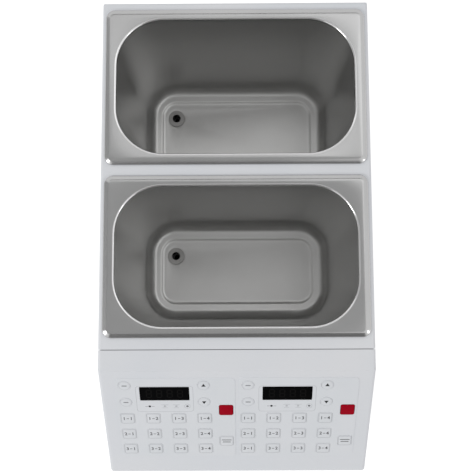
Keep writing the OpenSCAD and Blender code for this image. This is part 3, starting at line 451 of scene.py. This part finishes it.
solder_mask = plastic("solder_mask", colour(28, 104, 62), colour(20, 88, 52), 0.32, 900, 0.00003)
part_black = plastic("part_black", colour(30, 30, 32), colour(24, 24, 26), 0.42, 1500, 0.00003)
print("windows, plastics and rubbers made:", len(bpy.data.materials) - earlier)

# %% [markdown]
# ## Sheet parts
#
# The folded cabinet parts have the right shape in CAD, long bends and all. What they lack is a
# joined skin, without which light breaks at every triangle. So each is copied, its points are
# merged, edges sharper than 35 degrees stay crisp, and weighted normals keep the flats flat.

# %% Cabinet sheets, tray and grid
PAINTED = ("top_deck", "control_panel", "body_shell", "base_pan", "rear_cover")
BRUSHED = ("drip_tray", "drip_grid")
for sheet in PAINTED:
    dress(sheet, [powder_coat])
for sheet in BRUSHED:
    dress(sheet, [tray_steel])
print("sheet parts dressed:", len(PAINTED) + len(BRUSHED))

# %% [markdown]
# ## Pans
#
# A pan is one sheet that runs over the flange, round the mouth, down the wall and across the
# floor. It could be cut from a block, but the sheet itself is simpler: rounded rectangles at each
# height, bridged from one to the next. Each ring has the same number of points, so the bridge is
# all quads. Then the rings that are bends are bevelled, and the sheet gets its thickness.

# %% Sizes of a pan
# length, width, corner radius, height, and the bend put on that ring
PAN_RINGS = [
    (265.0, 162.0, 9.0, DECK_H + 0.02, 0.0),
    (265.0, 162.0, 9.0, RIM_Z - 2.2, 0.9),
    (255.4, 152.4, 4.2, RIM_Z, 1.4),
    (242.0, 140.0, 48.0, RIM_Z, 2.0),
    (217.8, 116.8, 36.4, FLOOR_Z + 14, 5.5),
    (209.6, 107.0, 32.0, FLOOR_Z + 5.4, 4.0),
    (199.0, 96.0, 25.8, FLOOR_Z + 2.0, 1.6),
    (186.0, 80.6, 18.2, FLOOR_Z + 1.8, 1.2),
    (180.6, 75.2, 15.5, FLOOR_Z, 1.6),
    (174.0, 67.0, 11.5, FLOOR_Z, 0.0),
]
MOUTH_RING = PAN_RINGS[3]
PAN_SHEET = 0.8
PAN_MIDDLES = {"rear": 150.515, "front": -22.685}
DRAIN_X, DRAIN_Y = -75.0, 19.0
# radius of each ring round the drain, and how far it is sunk in the floor
DRAIN_RINGS = ((11.6, 0.0), (10.4, 0.35), (6.45, 0.35))
print("rings of a pan:", len(PAN_RINGS), "rings of its drain:", len(DRAIN_RINGS))


# %% Rings, drain and bends
def ring(bm, length, width, radius, height):
    """The border of a rounded rectangle, ready to be bridged."""
    face = rounded_face(bm, length, width, radius, height, steps=14)
    edges = list(face.edges)
    bmesh.ops.delete(bm, geom=[face], context="FACES_ONLY")
    return edges


def drain_seat(bm):
    """The dished seat round the drain. Returns its outer edges."""
    circles = []
    for radius, sunk in DRAIN_RINGS:
        verts = bmesh.ops.create_circle(bm, segments=32, radius=radius)["verts"]
        bmesh.ops.translate(bm, vec=(DRAIN_X, DRAIN_Y, FLOOR_Z - sunk), verts=verts)
        circles.append(list(dict.fromkeys(e for v in verts for e in v.link_edges)))
    for outer, inner in zip(circles, circles[1:]):
        bmesh.ops.bridge_loops(bm, edges=outer + inner)
    return circles[0]


def bend_rings(bm, rings):
    """Rounds each ring that is a bend. The bend at the mouth takes the second material, a brighter steel that
    is a painted highlight.
    """
    for edges, size in zip(rings, PAN_RINGS):
        if size[4]:
            bend = bmesh.ops.bevel(bm, geom=[e for e in edges if e.is_valid], affect="EDGES", offset=size[4],
                                   segments=4, profile=0.5, material=-1, clamp_overlap=True)["faces"]
            if size is MOUTH_RING:
                for face in bend:
                    face.material_index = 1


print("bends of a pan:", sum(1 for size in PAN_RINGS if size[4]))


# %% Both pans
def pan(name, node_name, middle):
    """One drawn pan with its flange, in the place of its CAD part."""
    bm = bmesh.new()
    rings = [ring(bm, *size[:4]) for size in PAN_RINGS]
    for upper, lower in zip(rings, rings[1:]):
        bmesh.ops.bridge_loops(bm, edges=upper + lower)
    bmesh.ops.triangle_fill(bm, use_beauty=True, edges=rings[-1] + drain_seat(bm))
    bend_rings(bm, rings)
    bmesh.ops.recalc_face_normals(bm, faces=bm.faces)
    lowest = min(bm.faces, key=lambda f: f.calc_center_median().z)
    if lowest.normal.z < 0:
        bmesh.ops.reverse_faces(bm, faces=bm.faces)
    made = add_piece(bm, name, "cabinet", pan_steel, Matrix.Translation((0, middle, 0)),
                     [node_name], angle=50, closed=False)
    # the second material, the mouth's brighter steel, is a painted highlight
    made.data.materials.append(mouth_highlight_steel)
    wall = made.modifiers.new("sheet_thickness", "SOLIDIFY")
    wall.thickness, wall.offset = PAN_SHEET * MM, -1.0
    return made


for place, middle in PAN_MIDDLES.items():
    made = pan(place + "_pan", place + "_tank", middle)
    print(made.name, "faces:", len(made.data.polygons))

# %% [markdown]
# ## Fittings, hoses, pumps and feet
#
# These are turned, cast and moulded parts. They could be made again in Blender, but most are
# hidden and their shape in CAD is already true, so they only get a joined skin and their finish.
# Where one CAD part holds two materials, such as a board and what is soldered on it, a face picks
# its material by its place.

# %% Round parts from CAD
# the boards' upper faces: along the line out of the panel, and over the counter
PANEL_BOARD_TOP, SUPPLY_BOARD_TOP = -10.4, 23.2
# what is over HEAD_Z is behind the panel, and what is under BASE_Z is in the base
HEAD_Z, BASE_Z = 200, 120
BORE_R = 5.6


def above_board(face):
    """0 for the green board itself, 1 for what stands on it."""
    middle = face.calc_center_median() / MM
    out_of_panel = (panel_place(0, 0).inverted() @ middle).z
    on_panel_board = middle.z > HEAD_Z and out_of_panel > PANEL_BOARD_TOP
    return int(on_panel_board or SUPPLY_BOARD_TOP < middle.z < BASE_Z)


def dark_bore(face):
    """1 inside the drain's bore, which is painted black as painted shade in the deep hole."""
    spot = face.calc_center_median() / MM
    away = min(math.hypot(spot.x - DRAIN_X, spot.y - y - DRAIN_Y) for y in PAN_MIDDLES.values())
    return int(away < BORE_R)


dress("circuit_boards", [solder_mask, part_black], above_board)
# painted shade: the drain's bore takes the black of the second material
dress("tank_outlets", [drain_steel, part_black], dark_bore)
dress("spouts", [turned_steel])
dress("syrup_hoses", [hose_silicone])
dress("pump_bodies", [alloy])
dress("pump_motors", [motor_paint])
dress("feet", [rubber])
GEARS = ("front_drive_gear", "front_idler_gear", "rear_drive_gear", "rear_idler_gear")
for gear in GEARS:
    dress(gear, [gear_steel])
print("round parts dressed:", 7 + len(GEARS))

# %% Inlet with its pins
INLET_X, PINS_Z, PIN_HALF = 82.0, 71.4, 4.5
SOCKET_FLOOR_Y, SOCKET_RIM_Y = 226.0, 241.0
# sideways from the middle of the socket: half the middle pin, and both sides of an outer pin
MIDDLE_PIN, OUTER_PIN_FROM, OUTER_PIN_TO = 1.1, 5.9, 8.5


def pin_or_housing(face):
    """0 for the plastic, 1 for the three metal pins in the socket."""
    spot = face.calc_center_median() / MM
    across, up = abs(spot.x - INLET_X), abs(spot.z - PINS_Z)
    in_socket = SOCKET_FLOOR_Y < spot.y < SOCKET_RIM_Y and up < PIN_HALF and across < OUTER_PIN_TO
    return int(in_socket and not MIDDLE_PIN < across < OUTER_PIN_FROM)


inlet = dress("power_inlet", [black_plastic, brass], pin_or_housing)
print("faces on the pins:", sum(face.material_index for face in inlet.data.polygons))

# %% Rocker with its two signs
# y and z of the middle of each half, and how far it leans, in degrees
ON_HALF = (244.05, 100.1, 18.5)
OFF_HALF = (242.64, 91.2, -0.5)
STROKE_W, STROKE_L, CIRCLE_R, CIRCLE_LINE = 0.7, 4.2, 2.1, 0.6
dress("power_rocker", [rocker_plastic])


def mark_on_rocker(sign, bm, y, z, lean):
    """Lays a printed sign on one half of the rocker, which faces the back and leans by some degrees."""
    turn = Matrix.Rotation(math.pi, 4, "Z") @ Matrix.Rotation(math.radians(90 + lean), 4, "X")
    spot = Matrix.Translation((INLET_X, y, z)) @ turn
    add_piece(bm, "rocker_" + sign, "rocker", white_ink, spot)


bm = bmesh.new()
raise_faces(bm, [rounded_face(bm, STROKE_W, STROKE_L, 0.2, steps=2)], INK)
mark_on_rocker("on_sign", bm, *ON_HALF)
bm = bmesh.new()
outline(bm, round_face(bm, CIRCLE_R), CIRCLE_LINE, INK)
mark_on_rocker("off_sign", bm, *OFF_HALF)
print("signs on the rocker: 2")

# %% [markdown]
# ## Keypad faces and display
#
# Each keypad face is a thin film on the panel, and its edge is rolled down. Its sides and rolled edge are
# painted paler than its top, painted light that lifts the shade along the edge. The display is a smoked window
# with four unlit digits of seven bars. A real digit lies behind the window, but glass this dark would swallow
# it, so its bars are laid on the window in a barely paler black.
# Small lights under it show what the machine is doing, and a thin printed frame holds them
# together.

# %% Keypad film
PANEL_OUT = Vector((0, -math.sin(SLOPE), math.cos(SLOPE)))
FILM_ROLL = 0.4


def film_side(face):
    """1 for the film's thin sides, which are painted paler as painted light, 0 for its top and back."""
    return int(abs(face.normal @ PANEL_OUT) < 0.5)


film = dress("keypad_faces", [key_film, film_side_painted_light], film_side)
rolled = film.modifiers.new("rolled_edge", "BEVEL")
rolled.width, rolled.segments, rolled.material = FILM_ROLL * MM, 3, 1
rolled.limit_method, rolled.angle_limit = "ANGLE", math.radians(50)
# the bevel comes before the weighted normals, which smooth its new faces too
film.modifiers.move(1, 0)
print("modifiers of the film:", [modifier.name for modifier in film.modifiers])

# %% Windows and small lights
# the first column of keys on each keypad
PAD_LEFT = {"left": -61.4 - 50.3, "right": 61.4 - 50.3}
WINDOW_X, WINDOW_DOWN, LIGHT_DOWN = 39.3, 29.9, 47.4
LIGHT_XS = (23.6, 38.9, 50.4, 61.6)
# the lights begin this far down, and the two pale ones lie between these two places in x
LIGHTS_FROM, AFTER_FIRST, BEFORE_LAST = 44, 30, 56


def window_or_light(face):
    """0 for the window and the first light, which are dark, 1 for the pale lights, 2 for the last."""
    local = panel_place(0, 0).inverted() @ (face.calc_center_median() / MM)
    x = min((local.x - left for left in PAD_LEFT.values()), key=lambda v: abs(v - WINDOW_X))
    if -local.y < LIGHTS_FROM or x < AFTER_FIRST:
        return 0
    return 2 if x > BEFORE_LAST else 1


windows = dress("display_windows", [smoked_window, lens_grey, lens_dark], window_or_light)
print("faces of the windows and lights:", len(windows.data.polygons))

# %% Display digits and printed frames
DIGIT_PITCH, DIGIT_SPAN = 10.4, 4.9
BAR_L, BAR_W = 4.4, 0.9
FRAME_W, FRAME_H, FRAME_R, FRAME_DOWN = 57.5, 35.5, 3.5, 37.2
THIN_LINE = 0.4


def bar(bm, x, y, upright):
    """One bar of a digit, a thin slab with pointed ends."""
    before = set(bm.verts)
    raise_faces(bm, [rounded_face(bm, BAR_L, BAR_W, 0.44, steps=1)], INK)
    fresh = [v for v in bm.verts if v not in before]
    turn = Matrix.Rotation(math.radians(90 if upright else 0), 4, "Z")
    bmesh.ops.transform(bm, matrix=Matrix.Translation((x, y, 0)) @ turn, verts=fresh)


for side, left in PAD_LEFT.items():
    bm = bmesh.new()
    for digit in range(4):
        middle = (digit - 1.5) * DIGIT_PITCH
        for y in (-DIGIT_SPAN, 0, DIGIT_SPAN):
            bar(bm, middle, y, False)
        for x in (-DIGIT_SPAN / 2, DIGIT_SPAN / 2):
            for y in (-DIGIT_SPAN / 2, DIGIT_SPAN / 2):
                bar(bm, middle + x, y, True)
    add_piece(bm, side + "_digits", "cabinet", unlit_segment,
              panel_place(left + WINDOW_X, WINDOW_DOWN, FACE_H))
    bm = bmesh.new()
    outline(bm, rounded_face(bm, FRAME_W, FRAME_H, FRAME_R), THIN_LINE, INK)
    add_piece(bm, side + "_display_frame", "cabinet", outline_ink,
              panel_place(left + WINDOW_X, FRAME_DOWN, FACE_H))
print("display digits:", 4 * len(PAD_LEFT))


# %% Marks round the small lights
def short_line(length, width):
    """A short printed line."""
    bm = bmesh.new()
    raise_faces(bm, [rounded_face(bm, length, width, width / 2.2, -INK / 2, steps=2)], INK)
    return bm


def light_mark(side, sign, bm, mark_ink, x, down):
    """Lays a printed mark on the keypad film."""
    spot = panel_place(PAD_LEFT[side] + x, down, FACE_H + INK / 2)
    add_piece(bm, f"{side}_{sign}", "cabinet", mark_ink, spot)


# the first light has a line on each side, the next two a line above and below, the last a ring
RUN_LINES, RUN_LINE_L = {"run_line_left": 20.4, "run_line_right": 27.0}, 3.0
LINED_LIGHTS = {"second": LIGHT_XS[1], "third": LIGHT_XS[2]}
LINE_LENGTHS, LINE_AWAY, LINE_W = {-1: 7.0, 1: 5.4}, 2.1, 0.5
LIGHT_RING_R = 3.1
for side in PAD_LEFT:
    for sign, x in RUN_LINES.items():
        light_mark(side, sign, short_line(RUN_LINE_L, LINE_W), faint_ink, x, LIGHT_DOWN)
    for number, x in LINED_LIGHTS.items():
        for row, length in LINE_LENGTHS.items():
            light_mark(side, f"{number}_light_line_{row + 2}", short_line(length, LINE_W), outline_ink, x,
                       LIGHT_DOWN + LINE_AWAY * row)
    bm = bmesh.new()
    outline(bm, round_face(bm, LIGHT_RING_R, -INK / 2), THIN_LINE, INK)
    light_mark(side, "fourth_light_ring", bm, outline_ink, LIGHT_XS[3], LIGHT_DOWN)
print("marks round the lights:", 7 * len(PAD_LEFT))

# %% [markdown]
# ## Keys
#
# A key is a stiff cap under the film. It moves, so it is a piece of its own with everything that
# is printed on it. The cap is a slab with a rounded rim and a plunger below. Print could be a
# pattern in the material, but a pattern is blurred close up and hard to place. So the outline is
# a thin raised line, the number is text made into a mesh, and each of these rides with the key.

# %% Key caps
KEY_PITCH = 26.2
DOSE_DOWN = (64.6, 87.0, 109.4)
ROUND_DOWN = (DOSE_DOWN[0] - 45.8, DOSE_DOWN[0] - 23.1)
SIDE_X, STOP_DOWN, FEED_DOWN = 100.6, 53.05, 98.2
KEY_W, KEY_R, ROUND_R = 14.4, 2.1, 6.1
STOP_W, STOP_R = 13.8, 1.3
CAP_T, CAP_RIM = 1.8, 0.25
PLUNGER_R, PLUNGER_END = 2.0, -5.7


def key_cap(name, place, round_key, film, width=KEY_W, corner=KEY_R):
    """A cap with its plunger."""
    bm = bmesh.new()
    under = KEY_TOP - CAP_T
    face = round_face(bm, ROUND_R, under) if round_key else rounded_face(bm, width, width, corner, under)
    raise_faces(bm, [face], CAP_T, edge=CAP_RIM)
    raise_faces(bm, [round_face(bm, PLUNGER_R, PLUNGER_END, 24)], KEY_TOP - 1.0 - PLUNGER_END)
    add_piece(bm, name + "_cap", name + "_body", film, place, [name])


def key_line(name, place, round_key, line_ink, line=0.55, inset=0.5):
    """The printed outline of a key."""
    bm = bmesh.new()
    if round_key:
        face = round_face(bm, ROUND_R - inset)
    else:
        face = rounded_face(bm, KEY_W - 2 * inset, KEY_W - 2 * inset, KEY_R - inset)
    outline(bm, face, line, INK)
    spot = place @ Matrix.Translation((0, 0, KEY_TOP))
    add_piece(bm, name + "_outline", name + "_body", line_ink, spot)


print("a key is", KEY_W, "mm wide, and the next one is", KEY_PITCH, "mm on")

# %% Numbers on the dose keys
NUMBER_SIZE, NUMBER_X, BOLDER = 5.8, 3.6, 0.1
DASH_L, DASH_W = 2.6, 0.7


def text_bmesh(words, size):
    """Words as a closed bmesh in millimetres, centred, from the built-in font."""
    font = bpy.data.curves.new("legend", "FONT")
    font.body, font.size, font.extrude, font.offset = words, size, INK / 2, BOLDER
    font.align_x, font.align_y = "CENTER", "CENTER"
    holder = bpy.data.objects.new("legend", font)
    bpy.context.scene.collection.objects.link(holder)
    bpy.context.view_layer.update()
    mesh = bpy.data.meshes.new_from_object(holder.evaluated_get(bpy.context.evaluated_depsgraph_get()))
    bm = bmesh.new()
    bm.from_mesh(mesh)
    bpy.data.objects.remove(holder)
    bpy.data.meshes.remove(mesh)
    bpy.data.curves.remove(font)
    return bm


def print_on(name, sign, bm, place, mark_ink, x=0.0, y=0.0):
    """Lays a printed mark on top of a key."""
    spot = place @ Matrix.Translation((x, y, KEY_TOP + INK / 2))
    add_piece(bm, f"{name}_{sign}", name + "_body", mark_ink, spot)


for side, left in PAD_LEFT.items():
    for row, down in enumerate(DOSE_DOWN, 1):
        for column in range(1, 5):
            name = f"{side}_dose_key_{row}_{column}"
            place = panel_place(left + (column - 1) * KEY_PITCH, down)
            key_cap(name, place, False, key_film)
            key_line(name, place, False, outline_ink)
            print_on(name, "first_number", text_bmesh(str(row), NUMBER_SIZE), place, number_ink, x=-NUMBER_X)
            print_on(name, "second_number", text_bmesh(str(column), NUMBER_SIZE), place, number_ink, x=NUMBER_X)
            print_on(name, "dash", short_line(DASH_L, DASH_W), place, number_ink)
print("dose keys:", 3 * 4 * len(PAD_LEFT))


# %% Round, arrow, stop and feed keys
ARROW_R, MARK_L, MARK_W = 2.5, 5.2, 1.3


def arrow(turn):
    """A solid triangle."""
    bm = bmesh.new()
    verts = bmesh.ops.create_circle(bm, cap_ends=True, segments=3, radius=ARROW_R)["verts"]
    bmesh.ops.transform(bm, matrix=Matrix.Rotation(math.radians(turn), 4, "Z"), verts=verts)
    bmesh.ops.translate(bm, vec=(0, 0, -INK / 2), verts=verts)
    raise_faces(bm, [verts[0].link_faces[0]], INK)
    return bm


# how far down each row is, its key on the left, its arrow key on the right, and the arrow's turn
ROUND_ROWS = (
    (ROUND_DOWN[0], "upper_round_key", "up_key", 0),
    (ROUND_DOWN[1], "lower_round_key", "down_key", 180),
)
# name, y and length of each line on the feed key
FEED_LINES, FEED_LINE_W = (("upper_line", 1.7, 10.2), ("lower_line", -1.3, 8.4)), 0.9
for side, left in PAD_LEFT.items():
    for down, first, last, turn in ROUND_ROWS:
        name, place = f"{side}_{first}", panel_place(left, down)
        key_cap(name, place, True, key_film)
        key_line(name, place, True, pale_ink)
        print_on(name, "mark", short_line(MARK_L, MARK_W), place, faint_ink)
        name, place = f"{side}_{last}", panel_place(left + 3 * KEY_PITCH, down)
        key_cap(name, place, True, key_film)
        key_line(name, place, True, pale_ink, line=0.35)
        print_on(name, "arrow", arrow(turn), place, black_ink)
    key_cap(f"{side}_stop_key", panel_place(left + SIDE_X, STOP_DOWN), False, red_film, STOP_W, STOP_R)
    name, place = f"{side}_feed_key", panel_place(left + SIDE_X, FEED_DOWN)
    key_cap(name, place, False, key_film)
    key_line(name, place, False, outline_ink)
    for sign, y, length in FEED_LINES:
        print_on(name, sign, short_line(length, FEED_LINE_W), place, number_ink, y=y)
print("other keys:", 6 * len(PAD_LEFT))

# %% [markdown]
# ## Studio
#
# The machine stands on a pale floor in a plain white room. A picture's white background should
# not come from stronger lamps, which would wash the paint out. So the room is full white only to
# rays from the camera, from glossy surfaces and through glass, and softer to everything else.
# Three soft lamps add gentle shape, and plain screens give the steel something to reflect.

# %% White room
ROOM_LIGHT = 0.7
room = bpy.data.worlds.new("white_room")
bpy.context.scene.world = room
room.use_nodes = True
background = room.node_tree.nodes["Background"]
background.inputs["Color"].default_value = (1, 1, 1, 1)


def seen_directly(tree):
    """1 for camera, glossy and transmission rays, 0 for the rest."""
    path = tree.nodes.new("ShaderNodeLightPath")
    total = path.outputs["Is Camera Ray"]
    for ray in ("Is Glossy Ray", "Is Transmission Ray"):
        both = tree.nodes.new("ShaderNodeMath")
        both.operation = "MAXIMUM"
        tree.links.new(total, both.inputs[0])
        tree.links.new(path.outputs[ray], both.inputs[1])
        total = both.outputs[0]
    return total


level = room.node_tree.nodes.new("ShaderNodeMapRange")
level.inputs["To Min"].default_value = ROOM_LIGHT
room.node_tree.links.new(seen_directly(room.node_tree), level.inputs["Value"])
room.node_tree.links.new(level.outputs["Result"], background.inputs["Strength"])
print("room light on the object:", ROOM_LIGHT)

# %% Floor
FLOOR_GREY, FLOOR_GLOW = 0.62, 0.62
FLOOR_ACROSS, FLOOR_GAP = 12.0, 0.0002


def stage_sheet(name, material, width, depth, place):
    """A flat sheet of the studio, which isn't part of the machine."""
    bm = bmesh.new()
    bmesh.ops.create_grid(bm, x_segments=1, y_segments=1, size=0.5)
    bmesh.ops.scale(bm, vec=(width, depth, 1), verts=bm.verts)
    bmesh.ops.transform(bm, matrix=place, verts=bm.verts)
    mesh = bpy.data.meshes.new(name)
    bm.to_mesh(mesh)
    bm.free()
    mesh.materials.append(material)
    thing = bpy.data.objects.new(name, mesh)
    bpy.context.scene.collection.objects.link(thing)
    return thing


floor_paint = finish("floor_paint", (FLOOR_GREY, FLOOR_GREY, FLOOR_GREY, 1), 0.9)
speckle = grain(floor_paint, 260, detail=2.0)
feed(floor_paint, "Roughness", between(floor_paint, speckle, 0.85, 0.95))
shader_input(floor_paint, "Emission Color").default_value = (1, 1, 1, 1)
glow = node(floor_paint, "ShaderNodeMath", {0: seen_directly(floor_paint.node_tree), 1: FLOOR_GLOW},
            operation="MULTIPLY")
feed(floor_paint, "Emission Strength", glow.outputs[0])
stage_sheet("floor", floor_paint, FLOOR_ACROSS, FLOOR_ACROSS, Matrix.Translation((0, 0, -FLOOR_GAP)))
print("floor, metres across:", FLOOR_ACROSS)


# %% Screens for the steel to reflect
# Steel needs something darker than white to reflect, or it looks flat. Four plain screens that
# only shiny surfaces see stand round the machine: a dark curtain in front, a grey one on the
# left, a pale one high above and a dark strip high behind.
def screen(name, grey, width, depth, place, turn):
    """A flat screen, seen in reflections alone. Its turn is a tip about X, then a swing about Z."""
    cloth = finish(name + "_cloth", (grey, grey, grey, 1), 0.95)
    feed(cloth, "Roughness", between(cloth, grain(cloth, 3, (1, 1, 0.1), detail=2.0), 0.9, 1.0))
    tip, swing = (math.radians(angle) for angle in turn)
    spot = Matrix.Translation(place) @ Matrix.Rotation(swing, 4, "Z") @ Matrix.Rotation(tip, 4, "X")
    thing = stage_sheet(name, cloth, width, depth, spot)
    thing.visible_camera = thing.visible_diffuse = thing.visible_shadow = False


# name, grey, width, depth, middle, and the turn in degrees
screen("curtain_front", 0.3, 2.2, 2.4, (0.2, -2.0, 1.8), (90, 0))
screen("curtain_left", 0.72, 2.4, 2.4, (-2.2, 0.2, 1.8), (90, 90))
screen("screen_above", 0.84, 3.0, 2.75, (-0.9, -0.56, 2.95), (180, -12))
screen("strip_behind", 0.2, 3.4, 0.5, (0, 2.1, 2.9), (128, 0))
print("screens: 4")

# %% Soft lamps
LAMPS_LOOK_AT = Vector((0, 0, 0.25))


def soft_lamp(name, place, size, watts):
    """A square soft lamp that faces the middle of the machine."""
    lamp = bpy.data.lights.new(name, "AREA")
    lamp.shape, lamp.size, lamp.energy = "SQUARE", size, watts
    thing = bpy.data.objects.new(name, lamp)
    aim = LAMPS_LOOK_AT - Vector(place)
    thing.matrix_world = Matrix.Translation(place) @ aim.to_track_quat("-Z", "Y").to_matrix().to_4x4()
    bpy.context.scene.collection.objects.link(thing)


# name, middle, size in metres, and watts
soft_lamp("lamp_right_back", (0.85, 0.85, 2.3), 1.0, 1.2)
soft_lamp("lamp_left_front", (-1.9, -1.0, 1.75), 0.7, 16)
soft_lamp("lamp_right_front", (2.0, -1.1, 1.75), 0.5, 4.5)
bpy.context.scene.view_settings.view_transform = "Standard"
